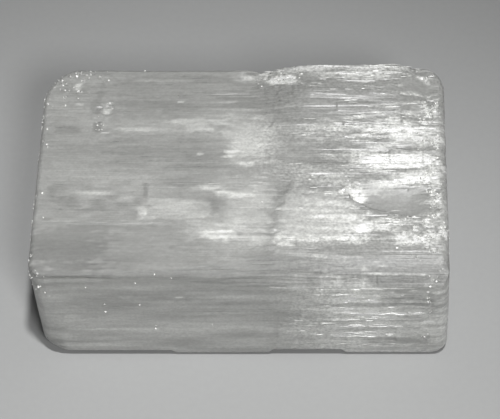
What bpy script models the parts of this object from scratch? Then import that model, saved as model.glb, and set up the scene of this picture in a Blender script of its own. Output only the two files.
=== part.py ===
"""A hand-sized block of fibrous selenite, broken along its fibres and rounded at its edges.

The fibres run along X. The block lies on its flat underside, with +Z up and -Y at the front.
Its top is a stack of long thin laths that end in short steps. The right of the top is the
roughest: a raised ledge stands along the back there, a shell-shaped chip is missing in front of
it, and the edge rolls softly over into the front. On the left the edge is crisp, with a groove
just under it. The underside is flat, and its front lip is chipped a little way off the ground.

Lengths are in millimetres until the block is brought to its full size at the end. A span is a
pair of places between which a form rises from nothing to its full height.
"""
import math
import random
from bisect import bisect_right

import bmesh
import bpy
from mathutils import Vector, noise

NODE = "selenite_block"
MM = 0.001

# Driving dimensions.
LENGTH = 71.6            # along the fibres, X
DEPTH = 45.0             # front to back, Y
HEIGHT = 26.0            # ground to the highest ledge, Z
TOP_LEVEL = 24.0         # main level of the top face

# How the block leans out of square.
FOOT_SHIFT = 1.3         # the underside stands this far to the right of the top's front
BACK_SHIFT = 1.1         # the top's back stands this far to the right of the top's front
FRONT_LEAN = 1.3         # the foot of the front stands out this far past its top

# The square block that the leaning one is made from.
HALF_LENGTH = (LENGTH - FOOT_SHIFT) / 2
HALF_DEPTH = (DEPTH - FRONT_LEAN) / 2

# Corner radii seen from above, and edge radii seen from the side.
CORNER_RADIUS = {(-1, -1): 2.8, (1, -1): 2.2, (-1, 1): 7.4, (1, 1): 4.4}
CORNER_FADE = 2.5        # the drawing-in fades out this many radii from the end
TOP_RADIUS = {"left": 1.1, "right": 1.3, "back": 1.2}
FOOT_RADIUS = {"left": 4.0, "right": 2.2, "back": 1.0, "front": 0.7}
FRONT_RADIUS_LEFT = 0.9
FRONT_RADIUS_RIGHT = 4.6
FRONT_RADIUS_SPAN = (-16.0, 12.0)

# Laths: long flat splinters, side by side across each face.
SEED = 41
TOP_LATHS = 19
SIDE_LATHS = 6
LATH_WIDTH_RANGE = (0.6, 1.6)    # relative to the usual width
LATH_WALL = 0.16                 # half the width of the wall between two laths
RUN_LENGTH = 11.0                # usual length of a lath before it breaks off
RUN_LENGTH_RANGE = (0.5, 1.7)    # relative to the usual length
TOP_RELIEF_LEFT = 0.15
TOP_RELIEF_RIGHT = 0.34
TOP_RELIEF_SPAN = (0.0, 24.0)
SIDE_RELIEF = 0.16
END_RELIEF = 0.13

# Slices that cut the block into a grid.
X_SPACING = 1.85
X_UNEVENNESS = 0.3
END_SLICES = (0.5, 1.3, 2.6, 4.4)      # extra slices, measured in from each end
SCOOP_SLICES = (-0.3, 0.9, 2.1)        # and from the start of the scoop
EDGE_SLICES = (0.35, 1.0, 2.2)         # and in from the front and the back
FOOT_SLICES = (0.6, 1.8)               # and up from the ground
CROWN_SLICES = (0.4, 1.9)              # and down from the top

# The raised ledge along the back, and the notch in the back edge at its left end.
LEDGE_RISE = 1.7
LEDGE_ALONG = (1.0, 10.0)
LEDGE_ACROSS = (6.0, HALF_DEPTH - 3.0)
LEDGE_SAG = 0.75                       # share of its rise that it loses at its right end
LEDGE_SAG_SPAN = (26.0, 33.0)
NOTCH_MIDDLE = 3.7
NOTCH_HALF_WIDTH = 3.6
NOTCH_DEPTH = 0.9
NOTCH_ACROSS = (HALF_DEPTH - 3.5, HALF_DEPTH)

# Small pits: x, y, half-length, half-width and depth.
PITS = (
    (-23.6, 12.9, 1.9, 1.3, 0.80),
    (-29.3, 17.3, 1.6, 1.0, 0.45),
    (-31.5, 14.7, 1.0, 1.2, 0.35),
    (-25.1, 9.2, 1.6, 1.4, 0.25),
    (31.4, 16.7, 2.6, 1.6, 0.35),
)
PIT_SLOPE = (0.35, 1.35)               # from its floor to its rim, in half-lengths

# The curved fracture step, with a plate to its right and a trough along its left.
STEP_BACK = (8.5, -3.7)
STEP_MIDDLE = (6.4, -9.6)
STEP_FRONT = (5.7, -15.9)
STEP_FADE = 2.2
STEP_RISE = 0.35
STEP_WALL = (-0.4, 0.4)
PLATE_FADE = (6.0, 16.0)
TROUGH_DEPTH = 0.55
TROUGH_OFFSET = 1.3
TROUGH_HALF_WIDTH = 1.7

# The shell-shaped chip: its steep front rim as (x, y), then its wall and its floor.
SCOOP_RIM = ((17.4, -4.2), (19.2, -6.8), (22.4, -8.4), (30.8, -10.2))
SCOOP_DEPTH = 1.15
SCOOP_START = (17.0, 19.4)
SCOOP_END = (28.0, 33.0)
SCOOP_WALL = 0.7
SCOOP_REACH = 5.2

# The top's slow forms: the sinking front right, the planed front left and an uneven swell.
SINK_DEPTH = 0.9
SINK_ALONG = (4.0, 20.0)
SINK_ACROSS = (-4.0, -HALF_DEPTH)
PLANED_DEPTH = 0.22
PLANED_ALONG = (-6.0, -16.0)
PLANED_ACROSS = (-11.2, -11.8)
PLANED_SMOOTHNESS = 0.8
SWELL_HEIGHT = 0.5
SWELL_SIZE = 16.0

# The front: an uneven bulge, and a groove under its top edge on the left.
BULGE_HEIGHT = 0.35
BULGE_SIZE = 14.0
GROOVE_HEIGHT = 23.0
GROOVE_HALF_WIDTH = 0.9
GROOVE_DEPTH = 0.35
GROOVE_FADE = (-13.0, -22.0)

# Chips along the front lip of the underside: start, end and height off the ground.
LIP_CHIPS = ((-40.0, -12.6, 1.1), (-12.6, 4.3, 0.3), (4.3, 17.0, 1.45), (17.0, 36.0, 0.4))
LIP_SLOPE = 0.6
LIP_REACH = 2.4                        # how far the chips reach in under the block
LIP_HEIGHT = 4.0                       # how far up the front they lift it

# How deep under each face its own forms reach.
TOP_SKIN = (0.8 * TOP_LEVEL, TOP_LEVEL)
SIDE_SKIN = 3.0
END_SKIN = 2.0
FOOT_SKIN = (0.5, 3.0)
FLAT = 1e-7                            # metres; a face this low lies on the ground
STRAIGHT = math.radians(0.5)


def clear_scene():
    for item in list(bpy.data.objects):
        bpy.data.objects.remove(item)


def ramp(span, value):
    """Smooth 0 to 1 as value goes from the start of the span to its end."""
    start, end = span
    share = min(max((value - start) / (end - start), 0.0), 1.0)
    return share * share * (3 - 2 * share)


def hill(offset, half_width):
    """Smooth hill, 1 high at offset 0 and nothing from half_width outwards."""
    return 1 - ramp((0, half_width), abs(offset))


def swell(x, y, z, size):
    """Gentle unevenness, about -0.5 to 0.5."""
    return noise.noise(Vector((x / size + 3.1, y / size - 7.7, z / size + 1.3)))


class Laths:
    """Side-by-side strips with uneven widths, each broken into runs at uneven heights."""

    def __init__(self, low, high, count, rng):
        widths = [rng.uniform(*LATH_WIDTH_RANGE) for _ in range(count)]
        scale = (high - low) / sum(widths)
        self.edges = [low]
        for width in widths:
            self.edges.append(self.edges[-1] + width * scale)
        self.runs = [self.broken_run(rng) for _ in range(count)]

    @staticmethod
    def broken_run(rng):
        """Places where one lath breaks, with its height from each break to the next."""
        place = -HALF_LENGTH
        starts, heights = [], []
        while place < HALF_LENGTH:
            starts.append(place)
            heights.append(rng.uniform(-1.0, 1.0))
            place += RUN_LENGTH * rng.uniform(*RUN_LENGTH_RANGE)
        return starts, heights

    def slices(self):
        """Cuts on both sides of each wall between two laths."""
        cuts = []
        for edge in self.edges[1:-1]:
            cuts += [edge - LATH_WALL, edge + LATH_WALL]
        return cuts

    def height(self, across, along):
        lath = min(max(bisect_right(self.edges, across) - 1, 0), len(self.runs) - 1)
        starts, heights = self.runs[lath]
        return heights[max(bisect_right(starts, along) - 1, 0)]


def x_slices(rng):
    """Slices along the fibres, close together where the ends curve and the scoop starts."""
    cuts = [SCOOP_RIM[0][0] + step for step in SCOOP_SLICES]
    for step in END_SLICES:
        cuts += [step - HALF_LENGTH, HALF_LENGTH - step]
    inner = HALF_LENGTH - END_SLICES[-1]
    count = round(2 * inner / X_SPACING)
    for number in range(1, count):
        place = number + rng.uniform(-X_UNEVENNESS, X_UNEVENNESS)
        cuts.append(-inner + 2 * inner * place / count)
    return cuts


def y_slices(top_laths):
    """Slices at the top's laths, and close together where the front and back edges curve."""
    cuts = top_laths.slices()
    for step in EDGE_SLICES:
        cuts += [step - HALF_DEPTH, HALF_DEPTH - step]
    return cuts


def z_slices(side_laths):
    """Slices at the sides' laths, and close together where the foot and the top curve."""
    cuts = side_laths.slices() + list(FOOT_SLICES)
    return cuts + [TOP_LEVEL - step for step in CROWN_SLICES]


def sliced_cuboid(x_cuts, y_cuts, z_cuts):
    """Closed box of the block's outer size, cut by planes into a grid over all six faces."""
    mesh = bmesh.new()
    bmesh.ops.create_cube(mesh, size=1.0)
    size = Vector((2 * HALF_LENGTH, 2 * HALF_DEPTH, TOP_LEVEL))
    bmesh.ops.scale(mesh, vec=size, verts=mesh.verts)
    bmesh.ops.translate(mesh, vec=Vector((0, 0, TOP_LEVEL / 2)), verts=mesh.verts)
    for axis, cuts in enumerate((x_cuts, y_cuts, z_cuts)):
        normal = Vector((0, 0, 0))
        normal[axis] = 1
        for cut in cuts:
            everything = mesh.verts[:] + mesh.edges[:] + mesh.faces[:]
            bmesh.ops.bisect_plane(mesh, geom=everything, plane_co=normal * cut, plane_no=normal)
    return mesh


def round_over(near, far, radius):
    """Moves a point near a square edge onto a round one.

    near and far are its distances from the edge's two faces.
    """
    if near >= radius or far >= radius:
        return near, far
    a = 1 - near / radius
    b = 1 - far / radius
    new_near = radius * (1 - a * math.sqrt(1 - b * b / 2))
    new_far = radius * (1 - b * math.sqrt(1 - a * a / 2))
    return new_near, new_far


def front_radius(x):
    """The front edge is crisp on the left and rolls over softly on the right."""
    growth = FRONT_RADIUS_RIGHT - FRONT_RADIUS_LEFT
    return FRONT_RADIUS_LEFT + growth * ramp(FRONT_RADIUS_SPAN, x)


def round_edges(x, y, z):
    """Rounds the edges around the top and the foot."""
    left, right = x + HALF_LENGTH, HALF_LENGTH - x
    front, back = y + HALF_DEPTH, HALF_DEPTH - y
    under, over = z, TOP_LEVEL - z
    front, over = round_over(front, over, front_radius(x))
    back, over = round_over(back, over, TOP_RADIUS["back"])
    front, under = round_over(front, under, FOOT_RADIUS["front"])
    back, under = round_over(back, under, FOOT_RADIUS["back"])
    left, over = round_over(left, over, TOP_RADIUS["left"])
    right, over = round_over(right, over, TOP_RADIUS["right"])
    left, under = round_over(left, under, FOOT_RADIUS["left"])
    right, under = round_over(right, under, FOOT_RADIUS["right"])
    x = left - HALF_LENGTH if x < 0 else HALF_LENGTH - right
    y = front - HALF_DEPTH if y < 0 else HALF_DEPTH - back
    z = under if z < TOP_LEVEL / 2 else TOP_LEVEL - over
    return x, y, z


def round_corners(x, y):
    """Draws the ends in towards the corners, and leaves the fibres straight."""
    end = -1 if x < 0 else 1
    side = -1 if y < 0 else 1
    radius = CORNER_RADIUS[end, side]
    past = min(max(abs(y) - (HALF_DEPTH - radius), 0.0), radius)
    drawn_in = radius - math.sqrt(radius * radius - past * past)
    return x - end * drawn_in * ramp((HALF_LENGTH - CORNER_FADE * radius, HALF_LENGTH), abs(x))


def pit_depth(x, y):
    depth = 0.0
    for pit_x, pit_y, length, width, deep in PITS:
        reach = math.hypot((x - pit_x) / length, (y - pit_y) / width)
        depth += deep * (1 - ramp(PIT_SLOPE, reach))
    return depth


def step_line(y):
    """Where the curved fracture step stands at this y."""
    share = (y - STEP_FRONT[1]) / (STEP_BACK[1] - STEP_FRONT[1])
    share = min(max(share, 0.0), 1.0)
    straight = STEP_FRONT[0] + (STEP_BACK[0] - STEP_FRONT[0]) * share
    bow = STEP_MIDDLE[0] - (STEP_BACK[0] + STEP_FRONT[0]) / 2
    return straight + 4 * bow * share * (1 - share)


def fracture_step(x, y):
    """A low plate to the right of the curved step, and a trough along its left."""
    along = ramp((STEP_FRONT[1] - STEP_FADE, STEP_FRONT[1]), y)
    along *= ramp((STEP_BACK[1] + STEP_FADE, STEP_BACK[1]), y)
    past = x - step_line(y)
    plate = STEP_RISE * ramp(STEP_WALL, past) * (1 - ramp(PLATE_FADE, past))
    trough = TROUGH_DEPTH * hill(past + TROUGH_OFFSET, TROUGH_HALF_WIDTH)
    return along * (plate - trough)


def rim_line(x):
    """y of the scoop's steep front rim at this x."""
    for (x_a, y_a), (x_b, y_b) in zip(SCOOP_RIM, SCOOP_RIM[1:]):
        if x <= x_b:
            return y_a + (y_b - y_a) * (x - x_a) / (x_b - x_a)
    return SCOOP_RIM[-1][1]


def scoop_share(x, y):
    """How far down the scoop is, from 0 outside it to 1 at its deepest.

    It is steep along its front rim, and its floor climbs slowly to the back.
    """
    along = ramp(SCOOP_START, x) * (1 - ramp(SCOOP_END, x))
    behind = y - rim_line(x)
    wall = ramp((0, SCOOP_WALL), behind)
    floor = 1 - ramp((SCOOP_WALL, SCOOP_REACH), behind)
    return along * wall * floor


def ledge_height(x, y):
    ledge = LEDGE_RISE * ramp(LEDGE_ALONG, x) * ramp(LEDGE_ACROSS, y)
    ledge *= 1 - LEDGE_SAG * ramp(LEDGE_SAG_SPAN, x)
    notch = NOTCH_DEPTH * hill(x - NOTCH_MIDDLE, NOTCH_HALF_WIDTH) * ramp(NOTCH_ACROSS, y)
    return ledge - notch


def planed_share(x, y):
    """1 where the top is planed smooth, at its front left."""
    return ramp(PLANED_ALONG, x) * ramp(PLANED_ACROSS, y)


def top_form(x, y):
    """Height of the top's main forms above TOP_LEVEL."""
    slow = SWELL_HEIGHT * swell(x, 3 * y, 0, SWELL_SIZE)
    slow -= SINK_DEPTH * ramp(SINK_ALONG, x) * ramp(SINK_ACROSS, y)
    slow -= PLANED_DEPTH * planed_share(x, y)
    missing = SCOOP_DEPTH * scoop_share(x, y) + pit_depth(x, y)
    return slow + ledge_height(x, y) + fracture_step(x, y) - missing


def top_relief(x, y):
    """How much the laths stand out of the top here."""
    growth = TOP_RELIEF_RIGHT - TOP_RELIEF_LEFT
    relief = TOP_RELIEF_LEFT + growth * ramp(TOP_RELIEF_SPAN, x)
    return relief * (1 - PLANED_SMOOTHNESS * planed_share(x, y)) * (1 - scoop_share(x, y))


def lip_lift(x):
    """How far the front lip of the underside is chipped off the ground."""
    lift = 0.0
    for start, end, high in LIP_CHIPS:
        begun = ramp((start - LIP_SLOPE, start + LIP_SLOPE), x)
        ended = ramp((end - LIP_SLOPE, end + LIP_SLOPE), x)
        lift += high * begun * (1 - ended)
    return lift


def front_form(x, z):
    """How far the front bulges out here."""
    groove = GROOVE_DEPTH * hill(z - GROOVE_HEIGHT, GROOVE_HALF_WIDTH) * ramp(GROOVE_FADE, x)
    return BULGE_HEIGHT * swell(x, 0, 2.5 * z, BULGE_SIZE) - groove


def back_form(x, z):
    """How far the back bulges out here."""
    return BULGE_HEIGHT * swell(x, HALF_DEPTH, 2.0 * z, BULGE_SIZE)


def shape_point(point, top_laths, side_laths):
    """The finished place of one grid point of the cuboid."""
    x, y, z = point
    height_share = z / TOP_LEVEL
    from_front = (y + HALF_DEPTH) / (2 * HALF_DEPTH)
    top_skin = ramp(TOP_SKIN, z)
    front_skin = ramp((SIDE_SKIN - HALF_DEPTH, -HALF_DEPTH), y)
    back_skin = ramp((HALF_DEPTH - SIDE_SKIN, HALF_DEPTH), y)
    left_skin = ramp((END_SKIN - HALF_LENGTH, -HALF_LENGTH), x)
    right_skin = ramp((HALF_LENGTH - END_SKIN, HALF_LENGTH), x)
    clear_of_ground = ramp(FOOT_SKIN, z)

    side_lath = SIDE_RELIEF * side_laths.height(z, x)
    fibre_end = END_RELIEF * (top_laths.height(y, x) + side_laths.height(z, x))
    out_front = front_skin * (side_lath + front_form(x, z))
    out_back = back_skin * (side_lath + back_form(x, z))
    out_end = (right_skin - left_skin) * fibre_end
    rise = top_form(x, y) + top_relief(x, y) * top_laths.height(y, x)

    new_x, new_y, new_z = round_edges(x, y, z)
    new_x = round_corners(new_x, new_y)
    new_x += FOOT_SHIFT * (1 - height_share) + BACK_SHIFT * from_front * height_share
    new_x += out_end * clear_of_ground
    new_y -= FRONT_LEAN * (1 - height_share) * (1 - from_front)
    new_y += (out_back - out_front) * clear_of_ground
    new_z += top_skin * rise
    lip = ramp((LIP_REACH - HALF_DEPTH, -HALF_DEPTH), y) * ramp((LIP_HEIGHT, 0), z)
    new_z += lip * lip_lift(x)
    return Vector((new_x, new_y, max(new_z, 0.0)))


def fit_to_size(mesh):
    """Puts the middle of the underside at the origin and brings the block to its full size."""
    low = Vector(min(v.co[axis] for v in mesh.verts) for axis in range(3))
    high = Vector(max(v.co[axis] for v in mesh.verts) for axis in range(3))
    middle = Vector(((low.x + high.x) / 2, (low.y + high.y) / 2, low.z))
    size = high - low
    scale = Vector((LENGTH / size.x, DEPTH / size.y, HEIGHT / size.z)) * MM
    bmesh.ops.translate(mesh, vec=-middle, verts=mesh.verts)
    bmesh.ops.scale(mesh, vec=scale, verts=mesh.verts)


def join_underside(mesh):
    """Joins the flat faces on the ground into one."""
    faces = [f for f in mesh.faces if all(v.co.z < FLAT for v in f.verts)]
    edges = list({e for f in faces for e in f.edges})
    verts = list({v for f in faces for v in f.verts})
    bmesh.ops.dissolve_limit(mesh, angle_limit=STRAIGHT, verts=verts, edges=edges)


def selenite_material():
    """Colourless to white, glossy and partly see-through."""
    material = bpy.data.materials.new("selenite")
    material.use_nodes = True
    shader = material.node_tree.nodes["Principled BSDF"]
    shader.inputs["Base Color"].default_value = (0.74, 0.75, 0.73, 1.0)
    shader.inputs["Roughness"].default_value = 0.25
    shader.inputs["Metallic"].default_value = 0.0
    shader.inputs["IOR"].default_value = 1.52
    shader.inputs["Transmission Weight"].default_value = 0.4
    return material


def selenite_block():
    rng = random.Random(SEED)
    top_laths = Laths(-HALF_DEPTH, HALF_DEPTH, TOP_LATHS, rng)
    side_laths = Laths(0, TOP_LEVEL, SIDE_LATHS, rng)
    mesh = sliced_cuboid(x_slices(rng), y_slices(top_laths), z_slices(side_laths))
    for vertex in mesh.verts:
        vertex.co = shape_point(vertex.co, top_laths, side_laths)
    fit_to_size(mesh)
    join_underside(mesh)
    bmesh.ops.recalc_face_normals(mesh, faces=mesh.faces)
    data = bpy.data.meshes.new(NODE)
    mesh.to_mesh(data)
    mesh.free()
    data.materials.append(selenite_material())
    block = bpy.data.objects.new(NODE, data)
    bpy.context.collection.objects.link(block)


clear_scene()
selenite_block()
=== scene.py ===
"""Looks for a block of fibrous selenite: fine fibres, splinters, frosted rims and milky clouds.

The block's form follows the solid's own forms, in millimetres, on a much finer grid. A few of
them are softer here, where the fine fibres take their place. A span is a pair of places between
which something rises from nothing to its full height.
"""
import math
import random

import bmesh
import bpy
import numpy as np
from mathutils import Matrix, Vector


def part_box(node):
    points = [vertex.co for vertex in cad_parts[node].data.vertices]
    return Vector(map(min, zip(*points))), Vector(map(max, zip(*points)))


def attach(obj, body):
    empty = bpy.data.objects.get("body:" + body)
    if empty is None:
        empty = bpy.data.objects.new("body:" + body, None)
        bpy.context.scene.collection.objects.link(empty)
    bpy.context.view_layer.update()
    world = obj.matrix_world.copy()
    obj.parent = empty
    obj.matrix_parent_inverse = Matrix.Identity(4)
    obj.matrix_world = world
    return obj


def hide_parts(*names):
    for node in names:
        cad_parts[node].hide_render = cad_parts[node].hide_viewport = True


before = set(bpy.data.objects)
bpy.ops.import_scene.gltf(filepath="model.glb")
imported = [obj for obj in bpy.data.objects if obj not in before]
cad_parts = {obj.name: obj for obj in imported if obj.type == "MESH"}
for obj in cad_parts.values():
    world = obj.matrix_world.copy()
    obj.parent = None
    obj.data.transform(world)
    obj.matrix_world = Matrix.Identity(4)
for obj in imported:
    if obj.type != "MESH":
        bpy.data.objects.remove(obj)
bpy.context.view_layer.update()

NODE = "selenite_block"
BODY = "root"
MM = 0.001

# ---- sizes, from the solid's box
LOW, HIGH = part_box(NODE)
SIZE = (HIGH - LOW) / MM
FOOT_SHIFT = 1.3
BACK_SHIFT = 1.1
FRONT_LEAN = 1.3
TOP = 24.0
HALF_X = (SIZE.x - FOOT_SHIFT) / 2
HALF_Y = (SIZE.y - FRONT_LEAN) / 2
INSET = 0.01  # the fine mesh keeps this far inside the solid's box

# Rows of the fine grid along, across and up.
ROWS = (184, 204, 70)

# ---- the solid's forms
# Radius of each upright corner, by its end (-1 is left) and its side (-1 is front).
CORNERS = {(-1, -1): 2.8, (1, -1): 2.2, (-1, 1): 7.4, (1, 1): 4.4}
CORNER_FADE = 2.5
TOP_RADIUS = {"left": 1.1, "right": 1.3, "back": 1.2}
FOOT_RADIUS = {"left": 4.0, "right": 2.2, "back": 1.0, "front": 0.7}
FRONT_RADIUS = (0.9, 4.6)
FRONT_RADIUS_SPAN = (-16.0, 12.0)
SEED = 41
TOP_LATHS = 19
SIDE_LATHS = 6
LATH_WIDTHS = (0.6, 1.6)
RUN_LENGTH = 11.0
RUN_LENGTHS = (0.5, 1.7)
TOP_RELIEF = (0.15, 0.34)
TOP_RELIEF_SPAN = (0.0, 24.0)
SIDE_RELIEF = 0.16
END_RELIEF = 0.13
LEDGE_RISE = 1.7
LEDGE_ALONG = (1.0, 12.0)
LEDGE_ACROSS = (3.0, HALF_Y - 2.0)
LEDGE_LATH = 0.9  # broken fibre ends make its left end rise in small terraces
LEDGE_TERRACE = 2.4
LEDGE_BREAK = 0.45
LEDGE_BREAK_SPAN = (13.0, 17.0)
LEDGE_SAG = 0.75
LEDGE_SAG_SPAN = (26.0, 33.0)
TORN_END_ALONG = (1.0, 4.0)  # its left end is torn as rough as the block's right end
TORN_END_ACROSS = (15.5, 17.5)
NOTCH = (3.7, 3.6, 0.9)  # middle, half width and depth
NOTCH_ACROSS = (HALF_Y - 3.5, HALF_Y)
# Pits: middle along and across, half length, half width and depth.
PITS = (
    (-23.6, 12.9, 1.9, 1.3, 0.8),
    (-29.3, 17.3, 1.6, 1.0, 0.45),
    (-31.5, 14.7, 1.0, 1.2, 0.35),
    (-25.1, 9.2, 1.6, 1.4, 0.25),
    (31.4, 16.7, 2.6, 1.6, 0.35),
)
PIT_SLOPE = (0.35, 1.35)
PIT_TEAR = 0.7
PIT_SHARE = 0.22  # chips that stand in the pits leave them this deep
STEP_ACROSS = (-15.9, -3.7)  # from its front end to its back end
STEP_LINE = (5.7, 6.4, 8.5)  # its place along the block at the front, midway and at the back
STEP_FADE = 2.2
STEP_RISE = 0.16
STEP_WALL = (-0.7, 0.7)
PLATE_FADE = (6.0, 16.0)
TROUGH = (0.8, 1.6, 0.08)  # how far left of the step, half width and depth
SCOOP_RIM = ((17.4, -4.2), (19.2, -6.8), (22.4, -8.4), (30.8, -10.2))
SCOOP_DEPTH = 1.15
SCOOP_START = (17.0, 19.4)
SCOOP_END = (28.0, 33.0)
SCOOP_WALL = 0.7
SCOOP_LEFT = 0.8  # fibres left in the scoop keep it this shallow
SCOOP_HOLLOW = 2.3  # higher makes its floor flatter and its back steeper
SCOOP_REACH = (3.8, 6.2)  # from its left end to its right end
SCOOP_WIDENS = (19.0, 25.0)
SINK_DEPTH = 0.9
SINK_ALONG = (4.0, 20.0)
SINK_ACROSS = (-4.0, -HALF_Y)
PLANED_DEPTH = 0.07
PLANED_ALONG = (-6.0, -16.0)
PLANED_ACROSS = (-11.2, -11.8)
PLANED_SMOOTHNESS = 0.8
SWELL_HEIGHT = 0.5
SWELL_SIZE = 16.0
BULGE_HEIGHT = 0.35
BULGE_SIZE = 14.0
GROOVE = (23.0, 0.9, 0.35)  # middle, half width and depth
GROOVE_FADE = (-19.0, -28.0)
# Chips along the front's foot: start, end and height.
LIP_CHIPS = ((-40.0, -12.6, 1.1), (-12.6, 4.3, 0.3), (4.3, 17.0, 1.45), (17.0, 36.0, 0.4))
LIP_SLOPE = 0.6
LIP_REACH = 2.4
LIP_HEIGHT = 4.0


def ramp(span, value):
    """Smooth 0 to 1 as value goes from the start of the span to its end."""
    start, end = span
    share = np.clip((value - start) / (end - start), 0.0, 1.0)
    return share * share * (3 - 2 * share)


def between(ends, span, value):
    """From the first of two ends to the second as value crosses the span."""
    first, second = ends
    return first + (second - first) * ramp(span, value)


def hill(offset, half_width):
    """Smooth hill, 1 high at offset 0 and nothing from half_width outwards."""
    return 1 - ramp((0, half_width), np.abs(offset))


def scatter(*cells):
    """A steady random number from -1 to 1 for each set of whole-numbered cells."""
    mixed = np.uint64(0)
    for cell, factor in zip(cells, (374761393, 668265263, 2246822519, 3266489917)):
        whole = np.asarray(cell, dtype=float).astype(np.int64).astype(np.uint64)
        mixed = mixed + (whole + np.uint64(97)) * np.uint64(factor)
    mixed = (mixed ^ (mixed >> np.uint64(13))) * np.uint64(1274126177)
    mixed = (mixed ^ (mixed >> np.uint64(16))) * np.uint64(2654435761)
    mixed = (mixed ^ (mixed >> np.uint64(15))) & np.uint64(0xFFFFFF)
    return mixed.astype(float) / 0x7FFFFF - 1


def noise(x, y, z, seed):
    """Smooth unevenness between -1 and 1, with hills about one unit across."""
    cell = [np.floor(value) for value in (x, y, z)]
    part = [value - low for value, low in zip((x, y, z), cell)]
    part = [share * share * (3 - 2 * share) for share in part]
    total = 0.0
    for steps in np.ndindex(2, 2, 2):
        weight = 1.0
        for share, step in zip(part, steps):
            weight = weight * (share if step else 1 - share)
        corner = [low + step for low, step in zip(cell, steps)]
        total = total + weight * scatter(*corner, seed)
    return total


def swell(x, y, z, size):
    """Slow unevenness of a whole face."""
    return 0.5 * noise(x / size, y / size, z / size, 5)


class Laths:
    """The solid's side-by-side strips, each broken into runs at uneven heights."""

    def __init__(self, low, high, count, rng):
        widths = [rng.uniform(*LATH_WIDTHS) for _ in range(count)]
        scale = (high - low) / sum(widths)
        self.edges = np.cumsum([low] + [width * scale for width in widths])
        self.runs = [self.broken_run(rng) for _ in range(count)]

    @staticmethod
    def broken_run(rng):
        place = -HALF_X
        starts, heights = [], []
        while place < HALF_X:
            starts.append(place)
            heights.append(rng.uniform(-1.0, 1.0))
            place += RUN_LENGTH * rng.uniform(*RUN_LENGTHS)
        return np.array(starts), np.array(heights)

    def height(self, across, along):
        lath = np.clip(np.searchsorted(self.edges, across, side="right") - 1, 0, len(self.runs) - 1)
        result = np.zeros_like(across)
        for number, (starts, heights) in enumerate(self.runs):
            here = lath == number
            run = np.clip(np.searchsorted(starts, along[here], side="right") - 1, 0, None)
            result[here] = heights[run]
        return result


def round_over(near, far, radius):
    """Moves points near a square edge onto a round one, by their distances from its faces."""
    inside = (near < radius) & (far < radius)
    a = np.where(inside, 1 - near / radius, 0.0)
    b = np.where(inside, 1 - far / radius, 0.0)
    new_near = radius * (1 - a * np.sqrt(1 - b * b / 2))
    new_far = radius * (1 - b * np.sqrt(1 - a * a / 2))
    return np.where(inside, new_near, near), np.where(inside, new_far, far)


def front_radius(x):
    """Radius of the long edge between the top and the front, worn towards the right."""
    return between(FRONT_RADIUS, FRONT_RADIUS_SPAN, x)


def round_edges(x, y, z):
    """Rounds every edge of the square block but the four upright ones."""
    left, right = x + HALF_X, HALF_X - x
    front, back = y + HALF_Y, HALF_Y - y
    under, over = z, TOP - z
    front, over = round_over(front, over, front_radius(x))
    back, over = round_over(back, over, TOP_RADIUS["back"])
    front, under = round_over(front, under, FOOT_RADIUS["front"])
    back, under = round_over(back, under, FOOT_RADIUS["back"])
    left, over = round_over(left, over, TOP_RADIUS["left"])
    right, over = round_over(right, over, TOP_RADIUS["right"])
    left, under = round_over(left, under, FOOT_RADIUS["left"])
    right, under = round_over(right, under, FOOT_RADIUS["right"])
    new_x = np.where(x < 0, left - HALF_X, HALF_X - right)
    new_y = np.where(y < 0, front - HALF_Y, HALF_Y - back)
    new_z = np.where(z < TOP / 2, under, TOP - over)
    return new_x, new_y, new_z


def round_corners(x, y):
    """Draws the ends in towards the corners, and leaves the fibres straight."""
    result = x.copy()
    for (end, side), radius in CORNERS.items():
        here = (np.sign(x + 1e-9) == end) & (np.sign(y + 1e-9) == side)
        past = np.clip(np.abs(y[here]) - (HALF_Y - radius), 0, radius)
        drawn_in = radius - np.sqrt(radius * radius - past * past)
        result[here] -= end * drawn_in * ramp((HALF_X - CORNER_FADE * radius, HALF_X), np.abs(x[here]))
    return result


def pit_depth(x, y):
    """How deep the small pits are at each point."""
    depth = 0.0
    tear = PIT_TEAR * ragged(x / 0.7, y / 0.7, 0)
    for pit_x, pit_y, length, width, deep in PITS:
        reach = np.hypot((x - pit_x) / length, (y - pit_y) / width) + tear
        depth = depth + PIT_SHARE * deep * (1 - ramp(PIT_SLOPE, reach))
    return depth


def step_line(y):
    """Where the torn step runs, in a bow from the front to the back."""
    start, end = STEP_ACROSS
    front, middle, back = STEP_LINE
    share = np.clip((y - start) / (end - start), 0, 1)
    bow = middle - (back + front) / 2
    return front + (back - front) * share + 4 * bow * share * (1 - share)


def step_along(y):
    start, end = STEP_ACROSS
    return ramp((start - STEP_FADE, start), y) * ramp((end + STEP_FADE, end), y)


def past_step(x, y):
    """How far to the right of the torn step a point lies."""
    coarse = 0.5 * noise(x / 2.2, y / 1.6, 0, 74)
    return x - step_line(y) + coarse + 0.6 * noise(x / 0.8, y / 0.5, 0, 75)


def fracture_step(x, y):
    """The step itself: a low plate on its right that thins out, and a trough on its left."""
    past = past_step(x, y)
    offset, half_width, deep = TROUGH
    plate = STEP_RISE * ramp(STEP_WALL, past) * (1 - ramp(PLATE_FADE, past))
    return step_along(y) * (plate - deep * hill(past + offset, half_width))


def behind_rim(x, y):
    """How far behind the scoop's front rim a point lies."""
    rim_x, rim_y = zip(*SCOOP_RIM)
    return y - np.interp(x, rim_x, rim_y)


def scoop_share(x, y):
    """How much of the shell-shaped chip is gone at each point."""
    along = ramp(SCOOP_START, x) * (1 - ramp(SCOOP_END, x))
    behind = behind_rim(x, y) + 0.2 * noise(x / 2.5, y / 2.5, 0, 21)
    reach = between(SCOOP_REACH, SCOOP_WIDENS, x)
    slope = np.clip((behind - SCOOP_WALL) / (reach - SCOOP_WALL), 0, 1)
    return along * ramp((0, SCOOP_WALL), behind) * (1 - slope ** SCOOP_HOLLOW) * SCOOP_LEFT


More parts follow.
